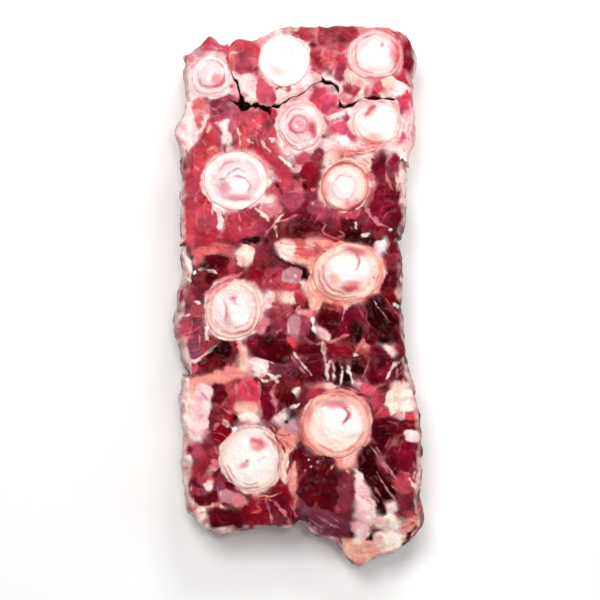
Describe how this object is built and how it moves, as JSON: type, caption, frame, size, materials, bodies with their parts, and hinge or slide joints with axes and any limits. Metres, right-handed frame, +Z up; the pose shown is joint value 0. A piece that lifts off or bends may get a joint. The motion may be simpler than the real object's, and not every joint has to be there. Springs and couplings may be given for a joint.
{
  "type": "raw oxtail",
  "caption": "Raw oxtail cut across into thick pieces that stand on end, pressed side by side into one block, each with a round vertebra in dark marbled meat.",
  "frame": {"origin": "centre of the block's footprint, on the surface that it stands on", "axes": "+Y along the block's long side towards the thin end of the tail, +Z up out of the cut faces, +X to the right seen from the thick end"},
  "size_m": [0.1256, 0.2696, 0.0489],
  "materials": {
    "muscle": "wet raw muscle with cream fat seams and membrane",
    "vertebra": "moist sawn bone and cartilage"
  },
  "bodies": {
    "root": {"muscle_a": "muscle", "vertebra_a": "vertebra", "muscle_b": "muscle", "vertebra_b": "vertebra", "muscle_c": "muscle", "vertebra_c": "vertebra", "muscle_d": "muscle", "vertebra_d": "vertebra", "muscle_e": "muscle", "vertebra_e": "vertebra", "muscle_f": "muscle", "vertebra_f": "vertebra", "muscle_g": "muscle", "vertebra_g": "vertebra", "muscle_h": "muscle", "vertebra_h": "vertebra", "muscle_i": "muscle", "vertebra_i": "vertebra", "muscle_j": "muscle", "vertebra_j": "vertebra", "muscle_k": "muscle", "vertebra_k": "vertebra"}
  },
  "joints": []
}
